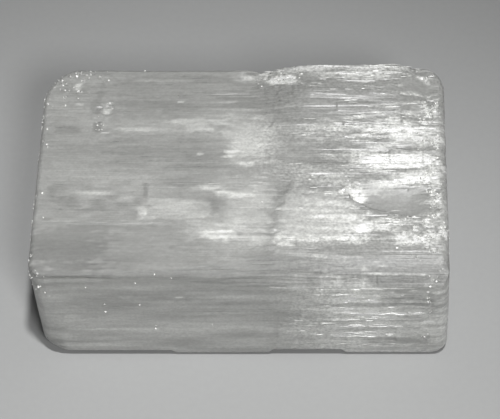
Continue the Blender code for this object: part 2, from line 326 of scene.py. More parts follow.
def scoop_region(x, y):
    """All of the scoop, with its gentle slope."""
    behind = behind_rim(x, y)
    along = ramp((20.0, 22.5), x) * (1 - ramp((30, 33), x))
    return along * ramp((-0.5, 0.2), behind) * (1 - ramp((4.2, 6.5), behind))


def ledge_height(x, y):
    """The raised ledge along the back right, with the notch at its left end."""
    lath = np.floor(y / LEDGE_LATH + 0.4 * noise(y / 3, 0, 0, 82))
    shift = LEDGE_TERRACE * scatter(lath, 81)
    terrace = LEDGE_TERRACE * (np.floor((x + shift) / LEDGE_TERRACE) + 0.5) - shift
    broken = LEDGE_BREAK * ramp(LEDGE_BREAK_SPAN, y)
    ledge = LEDGE_RISE * ramp(LEDGE_ALONG, x + broken * (terrace - x)) * ramp(LEDGE_ACROSS, y)
    ledge = ledge * (1 - LEDGE_SAG * ramp(LEDGE_SAG_SPAN, x))
    middle, half_width, deep = NOTCH
    return ledge - deep * hill(x - middle, half_width) * ramp(NOTCH_ACROSS, y)


def ledge_end(x, y):
    """Where the ledge's left end is torn."""
    return ramp(TORN_END_ALONG, x) * ramp(TORN_END_ACROSS, y)


def planed_share(x, y):
    """How much a point belongs to the flat, smooth front left of the top."""
    return ramp(PLANED_ALONG, x) * ramp(PLANED_ACROSS, y)


def top_form(x, y):
    """Height of the top's large forms over its level."""
    slow = SWELL_HEIGHT * swell(x, 3 * y, 0, SWELL_SIZE)
    slow = slow - SINK_DEPTH * ramp(SINK_ALONG, x) * ramp(SINK_ACROSS, y)
    slow = slow - PLANED_DEPTH * planed_share(x, y)
    missing = SCOOP_DEPTH * scoop_share(x, y) + pit_depth(x, y)
    return slow + ledge_height(x, y) + fracture_step(x, y) - missing


def top_relief(x, y):
    relief = between(TOP_RELIEF, TOP_RELIEF_SPAN, x)
    return relief * (1 - PLANED_SMOOTHNESS * planed_share(x, y)) * (1 - scoop_share(x, y))


def lip_lift(x):
    """How far the chips lift the front's foot off the ground."""
    lift = 0.0
    for start, end, high in LIP_CHIPS:
        begun = ramp((start - LIP_SLOPE, start + LIP_SLOPE), x)
        lift = lift + high * begun * (1 - ramp((end - LIP_SLOPE, end + LIP_SLOPE), x))
    return lift


# ---- the fine surface
# Each set of fibres: width, length of a run, how high they stand and their steepest tilt.
TOP_FIBRES = ((1.5, 8.0, 0.032, 0.12), (0.8, 3.4, 0.020, 0.08), (0.45, 1.6, 0.010, 0.04))
SIDE_FIBRES = ((1.4, 14.0, 0.1, 0.08), (0.7, 6.0, 0.06, 0.08))
EDGE_FIBRES = ((0.9, 7.0, 0.035, 0.11), (0.45, 4.0, 0.03, 0.09))
CLEAVAGE_LEAN = 0.39  # gleaming cleavage faces all lean this much towards the front
TILT_TO_FRONT = 0.1  # the right end's fibres lean this much towards the front
GRAIN_HEIGHT = 0.1
GRAIN_SIZE = 0.22
# How deep the forms of each side reach into the grid.
SIDE_SKIN = 3.0
END_SKIN = 2.0
TOP_SKIN = (0.8 * TOP, TOP)
FRONT_SKIN = (SIDE_SKIN - HALF_Y, -HALF_Y)
BACK_SKIN = (HALF_Y - SIDE_SKIN, HALF_Y)
LEFT_SKIN = (END_SKIN - HALF_X, -HALF_X)
RIGHT_SKIN = (HALF_X - END_SKIN, HALF_X)
FOOT_SKIN = (0.5, 3.0)
RIGHT_SPAN = (4.0, 24.0)  # from the clear left half to the rough, milky right end
SMOOTH_FRONT = (-9.0, -13.0)  # past this, the top lies smoother towards the front
EDGE_REACH = 1.3  # the worn edge reaches this far, counted in its radius


def changing(along, run, lath, seed):
    """A value for each lath that changes along it, here smoothly and there at a break."""
    place = along / run + 7 * scatter(lath, seed)
    cell = np.floor(place)
    hardness = 1 + 9 * (scatter(lath, cell, seed + 1) > 0.45)
    share = np.clip((place - cell - 0.5) * hardness + 0.5, 0, 1)
    share = share * share * (3 - 2 * share)
    return scatter(lath, cell, seed + 2) * (1 - share) + scatter(lath, cell + 1, seed + 2) * share


def fibre_height(across, along, sets, unrest, lean, seed):
    """Height of side-by-side fibres, each a flat facet with its own level and tilt."""
    total = 0.0
    for number, (width, run, high, tilt) in enumerate(sets):
        place = across / width
        place = place + 0.8 * noise(place / 3, 0, 0, seed + number)
        lath = np.floor(place)
        level = changing(along, run, lath, seed + 10 * number)
        slope = unrest * tilt * changing(along, run, lath, seed + 10 * number + 5) + lean * (number == 0)
        total = total + unrest * high * level + slope * width * (place - lath - 0.5)
    return total


def ragged(x, y, z):
    """Unevenness that tears an edge."""
    return 0.6 * noise(x / 1.5, y / 1.5, z / 1.5, 31) + 0.4 * noise(x / 0.6, y / 0.6, z / 0.6, 32)


def right_share(x):
    return ramp(RIGHT_SPAN, x)


def front_share(y, z):
    """How much a point belongs to the front, under the skin of the top."""
    return ramp(FRONT_SKIN, y) * (1 - ramp(TOP_SKIN, z))


def edge_share(x, y, z):
    """How near a point lies to the long edge between the top and the front."""
    away = np.maximum(TOP - z, y + HALF_Y) / (EDGE_REACH * front_radius(x))
    return 1 - ramp((0.5, 1.0), away)


# Bruised patches: middle along and across, half length, half width, strength, how torn the edge
# is and where it fades.
BRUISES = (
    (3.0 - HALF_X, HALF_Y - 3.0, 6.0, 5.0, 0.3, 0.4, (0.4, 1.3)),
    (-24.4, 12.8, 1.9, 1.6, 0.5, 0.4, (0.3, 1.2)),
    (31.6, 19.2, 2.6, 1.2, 0.35, 0.7, (0.3, 1.2)),
    (31.0, -12.5, 4.0, 4.5, 1.0, 0.5, (0.5, 1.2)),
    (5.5, 18.8, 4.5, 1.6, 0.35, 0.4, (0.5, 1.2)),
)
LEFT_RIM_FROST = 0.15
PIT_FROST = 0.5


def frost_share(x, y, z):
    """Where the surface is bruised to fine grains: the ends' rims, the pits and a few patches."""
    edge = 1.2 * ragged(x, y, z)
    clump = ramp((-0.15, 0.25), noise(x / 1.3, y / 1.1, z / 1.1, 33))
    high = ramp((0.7 * TOP, 0.95 * TOP), z)
    from_left, from_right = x + HALF_X, HALF_X - x
    left_rim = LEFT_RIM_FROST * clump * high * (1 - ramp((0.2, 2.4), from_left + edge))
    right_rim = ramp((0.8, 1.5), from_right + 0.3 * edge)
    right_rim = right_rim * (1 - ramp((2.2, 4.8), from_right + 1.3 * edge))
    right_rim = right_rim * (1 - 0.8 * ramp((-17.0, -19.5), y))
    right_rim = right_rim * clump * (1 - ramp((15.5, 17.0), y))
    pit = PIT_FROST * ramp((0.01, 0.09), pit_depth(x, y)) * clump * (z > TOP - 1) * (x < 0)
    frost = np.maximum.reduce([left_rim, right_rim, pit])
    for middle_x, middle_y, half_length, half_width, strength, tear, fade in BRUISES:
        reach = np.hypot((x - middle_x) / half_length, (y - middle_y) / half_width)
        frost = np.maximum(frost, strength * clump * (1 - ramp(fade, reach + tear * edge)))
    return frost


# ---- milkiness, painted light and shade, and finish
CLEAREST = -0.06  # no place is clearer than this
FRONT_MILK_AND_LIGHT = 0.24  # the front is toned this much lighter than the clear parts of the top: partly milkier crystal, partly painted light for the light it gets less of than the top
LOW_STRIP = (-13.0, -17.0)  # the strip of the top that slopes away to its front edge
QUIET_MIDDLE = 14.5  # the duller band along the foot of the ledge
QUIET_REACH = 5.5
PLANED_CALM = 0.75
SCOOP_CALM = 0.92
GLEAM_WHITENESS = (0.4, 0.8)  # veils as white as this gleam
GLEAM_ALONG = (5.0, 14.0)
# Milky veils and clear windows seen from above: middle along and across, half length, half
# width, whiteness and how soft the edge is.
TOP_VEILS = (
    (-8, 10, 5.5, 0.7, 0.36, 0.7),
    (-17.5, 8.3, 4.5, 0.45, 0.32, 0.8),
    (-7.6, 8.8, 2.8, 0.9, 0.3, 0.2),
    (-14, 9, 11, 1.8, 0.14, 1),
    (1.2, 6.4, 4.4, 5.4, 0.34, 0.9),
    (0.6, 3.6, 3.8, 2.6, 0.2, 0.15),
    (-1.8, 3.6, 1.4, 0.4, 0.55, 0.4),
    (-2.4, 2.6, 1, 0.4, 0.55, 0.4),
    (0.9, 0.7, 1.3, 0.6, 0.5, 0.7),
    (-21, -3.2, 8, 2.4, 0.16, 1),
    (-25, -5.3, 2.8, 0.35, 0.4, 0.6),
    (-19.5, -6.4, 1.4, 0.8, 0.24, 0.8),
    (-10.8, -8.5, 6.4, 2.2, 0.26, 0.15),
    (-9.5, -8.6, 5.4, 1.8, 0.14, 1),
    (-16.6, -9.2, 0.8, 1.3, 0.5, 0.6),
    (-15.4, -10.3, 1.4, 0.4, 0.4, 0.5),
    (-5.8, -4, 2.6, 0.6, 0.65, 0.9),
    (-0.6, -5.2, 2.8, 0.7, 0.65, 0.9),
    (1.5, -9, 4.2, 6, 0.42, 1),
    (-4, -12.6, 5, 2.2, 0.36, 1),
    (-3.8, -13.6, 2.6, 0.8, 0.75, 0.8),
    (13.5, -10.2, 7.2, 4.9, 0.44, 0.5),
    (23.5, -12.2, 5, 2.6, 0.38, 0.8),
    (17.5, -14, 3.6, 0.5, 0.5, 0.5),
    (17.5, -12.2, 9, 0.5, 0.24, 0.6),
    (16, -9.8, 4.4, 0.5, 0.4, 0.6),
    (8, -15.6, 1.4, 0.5, 0.55, 0.6),
    (18.6, -4.4, 1.7, 0.9, 0.8, 0.6),
    (20.2, -5.8, 1.1, 1.1, 0.9, 0.6),
    # painted sheen: whiter than milky crystal alone, for cleavage faces that gleam together
    (27, 1.5, 7, 1.6, 1.4, 0.3),
    (25.5, 7.6, 6.6, 1.3, 0.56, 0.6),
    (17, 8.7, 8, 0.45, 0.5, 0.6),
    (22.5, 12.7, 4, 0.4, 0.65, 0.4),
    (26.2, 10.5, 1.2, 0.8, 0.5, 0.2),
    (31, 9.8, 3.2, 0.7, 0.12, 0.5),
    (30, 13, 5, 3.2, 0.5, 0.9),
    (14, 11.5, 6.5, 2.6, -0.3, 1),
    (30, -2.2, 3.8, 0.8, 0.65, 0.6),
    (26, -2, 7.5, 1.4, 0.3, 0.8),
    (6.6, 18.5, 2.6, 0.9, 1.2, 0.4),
    (8.6, 17.6, 1.6, 0.5, 0.6, 0.3),
    (0.6, 19.7, 1.1, 0.4, 0.6, 0.5),
    (17, 20.9, 10.5, 0.9, 0.66, 0.8),
    (21.5, 19.5, 8, 0.28, 0.7, 0.6),
    (20, 18.8, 6, 0.7, 0.2, 0.8),
    (20.5, 18.2, 5.5, 0.3, 0.35, 0.6),
    (28.5, 15.5, 1.6, 0.4, 0.7, 0.5),
    (32, -12.4, 1.2, 2, 0.6, 0.7),
    (31.3, 19.1, 1.2, 0.45, 1.0, 0.8),
    (32.2, 18, 0.5, 0.5, 0.8, 0.8),
    (31.6, 6, 1.2, 9, 0.25, 0.9),
    (-30, 17.8, 0.6, 0.7, 0.8, 0.8),
    (-28.9, 13.9, 0.7, 0.25, 0.5, 0.6),
    (-24, 12.4, 0.9, 0.6, 0.7, 0.8),
    (-25.4, 15.5, 0.5, 4, -0.16, 0.8),
    (-11, 14.5, 0.7, 0.25, 0.6, 0.5),
    (-7.3, 3, 0.5, 0.25, 0.6, 0.5),
    (-13, 18, 17, 2.4, -0.12, 1),
    (4, 20, 5, 1.6, 0.4, 0.8),
    (-15, 19.1, 6, 0.3, 0.22, 0.8),
    (-14, 13.8, 9, 1.5, -0.18, 1),
    (-12, 3.2, 10, 2.2, -0.16, 0.8),
    (-8, 0.2, 7, 0.6, -0.2, 0.8),
    (-7, 6.2, 5, 0.7, -0.14, 0.6),
    (-10, -2.6, 5, 1.4, -0.14, 1),
    (-5, -7.6, 2.4, 1.4, -0.24, 0.9),
    (-16.3, -4.8, 0.45, 1.2, -0.34, 0.8),
    (-29.5, -7, 2.2, 1, -0.28, 1),
    (-32.3, -4.8, 0.7, 1, -0.28, 1),
    (-24.5, -8.6, 1.8, 0.8, -0.16, 1),
    (-25.8, 13.6, 0.9, 1.7, -0.44, 0.7),
    (-25.4, 8.9, 0.8, 1.1, -0.4, 0.4),
    (-30.5, 8.4, 1.9, 0.8, -0.26, 1),
    (-29.5, -17.2, 6.5, 4.4, -0.46, 1),
    (-21, -18, 6, 2.6, -0.08, 1),
    (-15, -17, 14, 4, -0.08, 1),
    (-20, -12, 14, 0.8, -0.1, 0.8),
    (6.6, -4.6, 1.5, 2.4, -0.06, 1),
    (9.5, 3.4, 3.8, 2.6, -0.16, 0.9),
    (7.5, 7, 2.4, 1.4, -0.12, 0.9),
    (3, 7, 10, 7.5, 0.12, 1),
    (26, 5, 9, 5.5, 0.08, 0.8),
    (5, -17.4, 14, 4, 0.16, 0.9),
    (31, -20, 5, 3, -0.35, 0.9),
    (11.5, 14.4, 8.5, 3.8, -0.52, 1),
    (21, 13.8, 7, 3.8, -1.05, 1),
    (30.5, 18.2, 4.2, 2.4, -0.48, 0.9),
    (26.6, -7, 5.6, 2.1, -0.74, 0.8),
    (29.4, 12.6, 1.3, 0.8, -0.55, 0.6),
    (1.2, 20.7, 1.2, 0.4, -0.5, 0.6),
    (19, -18.6, 17, 2.8, -0.28, 0.8),
    (26.5, -19.8, 9, 4, -0.56, 0.9),
    (26, -21.5, 5.5, 0.28, 1.1, 0.6),
    (22, -20.3, 8, 0.22, 0.45, 0.8),
    (28, -17.8, 5, 0.35, 0.4, 0.6),
    (16, -21.2, 5, 1.2, -0.16, 0.9),
    (15, -17.4, 7, 0.5, 0.2, 0.8),
)
# The same on the front, with the height in place of the distance across. Its thin bright lines at the
# right are painted highlights, for glints off the small ledges between fibres, and the dark line high at
# the left is painted shade in the groove under the top edge.
FRONT_VEILS_AND_GLINTS = (
    (-18, 18, 2.6, 0.45, 0.3, 0.9),
    (-29.6, 12.2, 1.8, 0.7, 0.3, 0.9),
    (-10.3, 17.8, 0.8, 0.26, 0.9, 0.6),
    (23.6, 11.6, 3.2, 0.7, 0.36, 0.25),
    (17.4, 12.6, 2, 1.5, 0.3, 0.6),
    (12.5, 9.5, 4.5, 4, 0.34, 0.9),
    (21.5, 9.5, 5, 4.5, 0.22, 0.9),
    (29, 3.2, 9, 3.2, -0.5, 0.9),
    (3.6, 8, 1.4, 2.2, 0.1, 0.4),
    (19.5, 17, 6, 1, 0.18, 0.9),
    # painted highlights: the thin bright lines below stand for glints off small ledges
    (21, 20.3, 10, 0.3, 0.8, 0.6),
    (24, 12.9, 8.5, 0.26, 0.75, 0.5),
    (29, 14.8, 5, 0.26, 0.85, 0.5),
    (22, 9.2, 5, 0.34, 1.2, 0.4),
    (33, 10.3, 1.8, 0.34, 1.0, 0.4),
    (22, 5.8, 7, 0.28, 0.6, 0.8),
    (21, 6.9, 5, 0.24, 0.5, 0.6),
    (20, 16.5, 3, 0.3, 0.55, 0.6),
    (11.5, 3.8, 4, 0.3, 0.4, 0.6),
    (17, 18.5, 4.5, 0.3, 0.6, 0.6),
    (25.5, 24.1, 4.5, 0.32, 0.45, 0.8),
    (16, 22.3, 5, 1.6, -0.2, 0.9),
    (30.5, 19.5, 6.5, 5.5, -0.82, 0.9),
    (29, 18.4, 4, 0.26, 0.75, 0.6),
    (31, 16.6, 2.6, 0.3, 0.7, 0.6),
    (14, 16, 8, 8, 0.12, 1),
    (5, 14.1, 10, 0.32, -0.22, 0.6),
    (19, 10.6, 14, 0.3, -0.34, 0.5),
    # painted shade in the groove under the top edge
    (-30, 23.7, 5, 0.3, -0.35, 0.5),
    (5.6, 7.2, 0.3, 2.2, -0.24, 0.4),
)
# Thin cracks in the top, and a painted shadow line along the scoop's front rim: from, to, half width and
# darkness.
CRACKS_AND_RIM_SHADOW = (
    (5.3, 10.4, 4.9, 9.2, 0.28, 0.5),
    (4.9, 9.2, 4.1, 8.4, 0.28, 0.5),
    (24.4, 11.2, 24.3, 9.2, 0.32, 1),
    (27.7, 12.6, 27.5, 9.4, 0.32, 1),
    (26.4, 17.4, 26, 14.6, 0.35, 0.9),
    (27.2, 4.6, 27, 3.4, 0.28, 0.5),
    # painted shadow along the scoop's front rim, in three pieces
    (16.9, -3.8, 18.8, -6.6, 0.55, 0.9),
    (18.8, -6.6, 21, -8.2, 0.55, 0.9),
    (21, -8.2, 29, -9.7, 0.4, 0.4),
    (2, -16.6, 3.2, -15.6, 0.25, 0.2),
)
# Smooth patches of the top: middle along and across, half length, half width and smoothness.
CALM_PATCHES = (
    (30.4, 17.2, 3.4, 1.6, 0.9),
    (29.6, 12.6, 1.6, 1.0, 0.9),
    (9.5, 3.6, 3.4, 2.4, 0.7),
    (12.8, -9.6, 7.4, 5.2, 0.65),
    (21.0, -18.6, 15.0, 4.2, 0.2),
    (13.5, 12.2, 5.5, 3.2, 0.26),
)


def veil_sum(x, across, veils, seed):
    """Whiteness of all the veils at each point. Their edges are torn along the fibres."""
    fine = 0.5 + 0.5 * right_share(x)
    tear = 0.4 * noise(x / 3.5, across / 0.5, 0, seed)
    tear = tear + 0.3 * noise(x / 0.8, across / 0.4, 0, seed + 1)
    body = 0.35 * noise(x / 4.0, across / 0.45, 0, seed + 2)
    body = 0.95 + fine * (body + 0.3 * noise(x / 1.2, across / 0.5, 0, seed + 3))
    total = 0.0
    for middle_x, middle_across, half_length, half_width, white, soft in veils:
        reach = ((x - middle_x) / half_length) ** 4 + ((across - middle_across) / half_width) ** 4
        span = (0.9 - 0.5 * soft, 0.9 + 0.5 * soft)
        total = total + white * (1 - ramp(span, reach ** 0.25 + soft * tear))
    return total * body


def top_veils(x, y):
    return veil_sum(x, y, TOP_VEILS, 71)


def front_veils_and_glints(x, z):
    return veil_sum(x, z, FRONT_VEILS_AND_GLINTS, 73)


def streak(x, across, width, length, seed):
    """Long thin unevenness along the fibres."""
    place = across / width
    lath = np.floor(place + 0.5 * noise(place / 3, 0, 0, seed))
    return changing(x, length, lath, seed + 20)


def crack_and_rim_shadow_share(x, y):
    """How dark the thin cracks, and the painted shadow along the scoop's rim, make a point."""
    total = 0.0
    for start_x, start_y, end_x, end_y, half_width, dark in CRACKS_AND_RIM_SHADOW:
        run_x, run_y = end_x - start_x, end_y - start_y
        from_x, from_y = x - start_x, y - start_y
        share = np.clip((from_x * run_x + from_y * run_y) / (run_x ** 2 + run_y ** 2), 0, 1)
        away = np.hypot(from_x - share * run_x, from_y - share * run_y)
        total = total + dark * hill(away, half_width)
    return total


def gleam_share(x, y):
    """Where cleavage faces lean to the front together and shine as one."""
    return ramp(GLEAM_WHITENESS, top_veils(x, y)) * ramp(GLEAM_ALONG, x)


def calm_share(x, y):
    """Smooth places with hardly a fibre standing out."""
    total = np.maximum(PLANED_CALM * planed_share(x, y), SCOOP_CALM * scoop_region(x, y))
    tear = 0.25 * ragged(x, y, 0)
    for middle_x, middle_y, half_length, half_width, smooth in CALM_PATCHES:
        reach = np.hypot((x - middle_x) / half_length, (y - middle_y) / half_width)
        total = np.maximum(total, smooth * (1 - ramp((0.7, 1.2), reach + tear)))
    return total


def quiet_share(y):
    return hill(y - QUIET_MIDDLE, QUIET_REACH)


def fibre_lines(x, across):
    """Light and dark lines along the fibres, with short ones among them at the right."""
    lines = 0.5 * streak(x, across, 0.42, 7.0, 63) + 0.4 * streak(x, across, 0.9, 12.0, 64)
    lines = lines + 0.5 * noise(x / 9.0, across / 1.6, 0, 65)
    return lines + 0.42 * right_share(x) * streak(x, across, 0.6, 1.8, 79)


def low_strip_milk(x, y):
    """Soft bands and short white dashes at the right of the low strip."""
    bands = 0.26 * right_share(x) * noise(x / 3.5, y / 0.8, 0, 93)
    dashes = np.clip(streak(x, y, 0.34, 2.4, 94) - 0.15, 0, 1)
    dashes = dashes + np.clip(streak(x, y, 0.5, 5.0, 95) - 0.2, 0, 1)
    return bands + ramp((3, 13), x) * (0.46 * dashes - 0.02)


def right_end_milk_and_sheen(x, y, z):
    """Broken white patches towards the right end, duller along the foot of the ledge: partly milky
    crystal, partly painted sheen for the fibres that gleam there.
    """
    patches = noise(x / 4, y / 1.2, z / 1.2, 68) + 0.6 * noise(x / 1.5, y / 0.7, z / 0.7, 78)
    patches = 0.58 * patches * (1 - calm_share(x, y))
    quiet = quiet_share(y)
    white = 0.26 + (1 - 0.6 * quiet) * patches - 0.34 * quiet
    return right_share(x) * white * ramp((-16.5, -14.5), y)


def step_shade_and_highlight(x, y):
    """Painted light and shade along the torn step: a painted highlight on the plate's edge and two lines
    of painted shade in the trough beside it.
    """
    past = past_step(x, y)
    dark = 0.05 * hill(past + 0.2, 0.7) + 0.1 * hill(past + 1.0, 1.9)
    return step_along(y) * (0.08 * hill(past - 1.0, 0.9) - dark)


def top_milk(x, y, z, lines):
    """How much milkier the top is than clear crystal, with painted shade along the torn step and the
    scoop's rim and painted sheen towards the right end.
    """
    blotches = noise(x / 2.2, y, 0, 69) * ramp((-13, -18), x)
    blotches = blotches * ramp((-1, -4), y) * ramp((-12, -10), y)
    milk = top_veils(x, y) + right_end_milk_and_sheen(x, y, z) + 0.16 * blotches + step_shade_and_highlight(x, y)
    quiet_lines = hill(y - QUIET_MIDDLE, 6.0) * ramp((-8, 0), x) * (1 - right_share(x)) * lines
    milk = milk + 0.5 * quiet_lines + ramp(LOW_STRIP, y) * low_strip_milk(x, y)
    return milk - crack_and_rim_shadow_share(x, y) - 0.25 * ramp((HALF_X - 1.8, HALF_X - 1.0), x)


def front_milk(x, z):
    """How much lighter the front is toned than clear crystal: milkier crystal, with painted light,
    painted glints and painted shade in it.
    """
    right = right_share(x)
    bands = (0.22 - 0.1 * right) * noise(x / 12, z / 1.6, 0, 92)
    return front_veils_and_glints(x, z) + FRONT_MILK_AND_LIGHT + 0.45 * right + bands


def milk_share(x, y, z, frost):
    """How milky the crystal is at each point, 0 clear and 1 white, with painted light and shade worked
    in.
    """
    on_top, on_front = ramp(TOP_SKIN, z), front_share(y, z)
    elsewhere = 1 - np.maximum(on_top, on_front)
    on_end = ramp(RIGHT_SKIN, np.abs(x)) * elsewhere
    right = right_share(x)
    low_strip = on_top * ramp(LOW_STRIP, y)
    cloud = 0.5 * noise(x / 7, y / 3.0, z / 3.0, 61) + 0.3 * noise(x / 3, y / 1.3, z / 1.3, 62)
    grains = (0.05 + 0.25 * right * (1 - 0.6 * on_front)) * noise(x / 0.5, y / 0.3, z / 0.3, 66)
    lines = fibre_lines(x, y + z)
    line_depth = 0.22 * right * (1 - 0.4 * on_top * ramp((-7, -11), y) - 0.3 * low_strip)
    line_depth = line_depth + 0.09 + (0.1 - 0.05 * right) * on_front
    torn = 0.2 * noise(0, y / 0.55, z / 0.55, 76) + 0.2 * noise(0, y / 1.1, z / 3.5, 77)
    speckle = np.clip(noise(x / 0.4, y / 0.4, z / 0.4, 67) - 0.1, 0, 1)
    speckle = speckle + right * np.clip(noise(x / 0.9, y / 0.8, z / 0.8, 70) - 0.1, 0, 1)

    milk = 0.12 + 0.08 * cloud + grains + line_depth * lines * (1 - on_end)
    milk = milk + on_top * top_milk(x, y, z, lines) + on_front * front_milk(x, z)
    milk = milk + elsewhere * (0.06 + 0.1 * right) + on_end * (0.16 + torn)
    # painted shade: the long edge between the top and the front is toned darker away from the right end,
    # against the light it catches
    milk = milk - 0.32 * edge_share(x, y, z) * (1 - right)
    milk = milk + frost * ((0.7 + 1.7 * right) * speckle - 0.05 - 0.3 * right)
    dim = on_top * (0.3 * ramp((-16, -19), y) + 0.09 * quiet_share(y))
    clearest = CLEAREST + right * (0.16 - dim) - 0.16 * low_strip * (1 - right)
    # painted shade: the left end is toned darker towards its foot, so that it sends less light onto the
    # shadowed floor beside it
    foot = 0.32 * ramp(LEFT_SKIN, x) * ramp((13, 2), z)
    return np.maximum(milk, clearest) - foot


def splinter_share(x, y, z, milk):
    """How thickly splinters lie: on the milky right of the top, its ledge and the front's lines."""
    on_top = ramp(TOP_SKIN, z)
    right = np.maximum(right_share(x), ledge_end(x, y))
    patchy = np.clip(0.5 + 1.2 * noise(x / 5, (y + z) / 1.6, 0, 91), 0, 1)
    on_line = front_share(y, z) * ramp((0.25, 0.7), front_veils_and_glints(x, z))
    share = (on_top * patchy + 0.04 + 1.7 * on_line) * (0.01 + 0.99 * right) * ramp(GROUND_GAP, z)
    share = share * (1 - calm_share(x, y)) * (1 - 0.85 * on_top * ramp(SMOOTH_FRONT, y))
    share = share * (1 - 0.9 * hill(x - 13.0, 9.0) * hill(y - 12.5, 5.5))
    share = share * np.clip(0.12 + 1.1 * milk, 0, 1)
    return share * ramp((HALF_X - 1.5, HALF_X - 4.5), np.abs(x))


def coarse_share(x, y, z):
    """How coarse the grit in the surface is: fine at the left and in calm places."""
    coarse = 0.3 + 0.7 * ramp((-3.0, 9.0), x - 5 * ramp((0, -4), y))
    coarse = coarse * (1 - 0.6 * ramp(TOP_SKIN, z) * calm_share(x, y))
    return coarse * (1 - 0.5 * front_share(y, z) * right_share(x))


# ---- the crystal's mesh
SHARP_ANGLE = 9.0
GROUND_GAP = (1.5, 3.0)  # splinters and grains keep clear of the ground
STRAY_GRAINS = 0.0004  # the share of grains where nothing is bruised


def cuboid_grid(rows):
    """Points and outward faces of a closed box, cut into a grid over all six sides."""
    count_x, count_y, count_z = rows
    number = np.full((count_x + 1, count_y + 1, count_z + 1), -1, dtype=np.int64)
    index = np.indices(number.shape)
    limits = np.array(rows).reshape(3, 1, 1, 1)
    on_skin = ((index == 0) | (index == limits)).any(axis=0)
    number[on_skin] = np.arange(on_skin.sum())
    points = index[:, on_skin].T.astype(float)

    def side(grid, outward):
        corners = (grid[:-1, :-1], grid[1:, :-1], grid[1:, 1:], grid[:-1, 1:])
        quads = np.stack([corner.ravel() for corner in corners], axis=1)
        return quads if outward else quads[:, ::-1]

    faces = [
        side(number[:, :, -1], True), side(number[:, :, 0], False),
        side(number[:, 0, :], True), side(number[:, -1, :], False),
        side(number[-1, :, :], True), side(number[0, :, :], False),
    ]
    return points, np.concatenate(faces)


def top_height(x, y, laths):
    """How far the top's laths and fine fibres stand out."""
    right = np.maximum(right_share(x), 0.75 * ledge_end(x, y))
    gleam = gleam_share(x, y)
    smooth = ramp(SMOOTH_FRONT, y)
    rise = top_form(x, y + 0.5) - top_form(x, y - 0.5)
    lean = TILT_TO_FRONT * right * (1 - 0.7 * smooth) * (1 - ramp((6.5, 10.5), y)) * (1 - gleam)
    lean = lean + gleam * np.clip(CLEAVAGE_LEAN - rise, 0, 0.45)
    early = 0.35 * ramp((-9, 1), x) * ramp((9.0, 12.0), y)
    unrest = (0.18 + 0.72 * np.maximum(right, early)) * (1 - 0.6 * gleam) * (1 - 0.75 * smooth)
    fine = fibre_height(y, x, TOP_FIBRES, unrest, lean, 200)
    broad = 0.12 + 0.28 * right * ramp((-17, -12), y) * ramp((17, 12), y)
    broad = broad * top_relief(x, y) * laths.height(y, x)
    return (1 - calm_share(x, y)) * (broad + fine)


def front_height(x, z):
    """How far the front's bulges and fine fibres stand out, less the groove under its top edge."""
    right = right_share(x)
    middle, half_width, deep = GROOVE
    groove = deep * hill(z - middle, half_width) * ramp(GROOVE_FADE, x)
    unrest = (0.25 + 0.45 * right) * (1 - 0.75 * right * ramp((19, 22), z))
    fine = fibre_height(z, x, SIDE_FIBRES, unrest, 0.0, 300)
    return BULGE_HEIGHT * swell(x, 0, 2.5 * z, BULGE_SIZE) - groove + fine


def back_height(x, z):
    """How far the back's bulges and fine fibres stand out."""
    fine = fibre_height(z, x, SIDE_FIBRES, 0.7, 0.0, 400)
    return BULGE_HEIGHT * swell(x, HALF_Y, 2.0 * z, BULGE_SIZE) + fine


def end_height(x, y, z):
    """How far torn fibres stand out of the two ends."""
    torn = 0.5 * noise(0, y / 1.1, z / 3.5, 8) + 0.4 * noise(0, y / 0.45, z / 0.7, 9)
    return END_RELIEF * (0.4 + 0.6 * right_share(x)) * torn


def shape_points(x, y, z, frost, top_laths, side_laths):
    """The finished place of each grid point, in millimetres."""
    up = z / TOP
    from_front = (y + HALF_Y) / (2 * HALF_Y)
    front_skin, back_skin = ramp(FRONT_SKIN, y), ramp(BACK_SKIN, y)
    ends = ramp(RIGHT_SKIN, x) - ramp(LEFT_SKIN, x)
    clear_of_ground = ramp(FOOT_SKIN, z)
    right = right_share(x)
    grain = scatter(*(np.round(value / GRAIN_SIZE) for value in (x, y, z)))
    grain = GRAIN_HEIGHT * frost * grain
    side_lath = (0.3 + 0.3 * right) * SIDE_RELIEF * side_laths.height(z, x)
    out_front = front_skin * (side_lath + front_height(x, z))
    out_back = back_skin * (side_lath + back_height(x, z))
    down_edge = y + HALF_Y - (TOP - z)
    edge_fine = fibre_height(down_edge, x, EDGE_FIBRES, 1 - 0.9 * right, 0.0, 500)
    edge_fine = edge_share(x, y, z) * edge_fine
    top = top_form(x, y) + top_height(x, y, top_laths) + grain

    new_x, new_y, new_z = round_edges(x, y, z)
    new_x = round_corners(new_x, new_y)
    new_x = new_x + FOOT_SHIFT * (1 - up) + BACK_SHIFT * from_front * up
    new_x = new_x + ends * (end_height(x, y, z) + grain) * clear_of_ground
    new_y = new_y - FRONT_LEAN * (1 - up) * (1 - from_front)
    new_y = new_y + (out_back - out_front + (back_skin - front_skin) * grain) * clear_of_ground
    new_y = new_y - edge_fine
    new_z = new_z + ramp(TOP_SKIN, z) * top + edge_fine
    lip = ramp((LIP_REACH - HALF_Y, -HALF_Y), y) * ramp((LIP_HEIGHT, 0), z)
    new_z = np.maximum(new_z + lip * lip_lift(x), 0.0)
    return np.stack([new_x, new_y, new_z], axis=1)


def fit_to_solid(points):
    """Brings the fine points to the solid's box, a hair inside it."""
    low, high = points.min(axis=0), points.max(axis=0)
    goal_low = np.array(LOW / MM) + INSET
    goal_high = np.array(HIGH / MM) - INSET
    goal_low[2] = LOW.z / MM
    return goal_low + (points - low) * (goal_high - goal_low) / (high - low)


def add_object(name, data):
    thing = bpy.data.objects.new(name, data)
    bpy.context.scene.collection.objects.link(thing)
    return thing


def join_flat_underside(mesh):
    """Makes one face of the small ones that lie flat on the ground."""
    work = bmesh.new()
    work.from_mesh(mesh)
    flat = [face for face in work.faces if all(vertex.co.z < 1e-7 for vertex in face.verts)]
    bmesh.ops.dissolve_faces(work, faces=flat, use_verts=False)
    work.to_mesh(mesh)
    work.free()


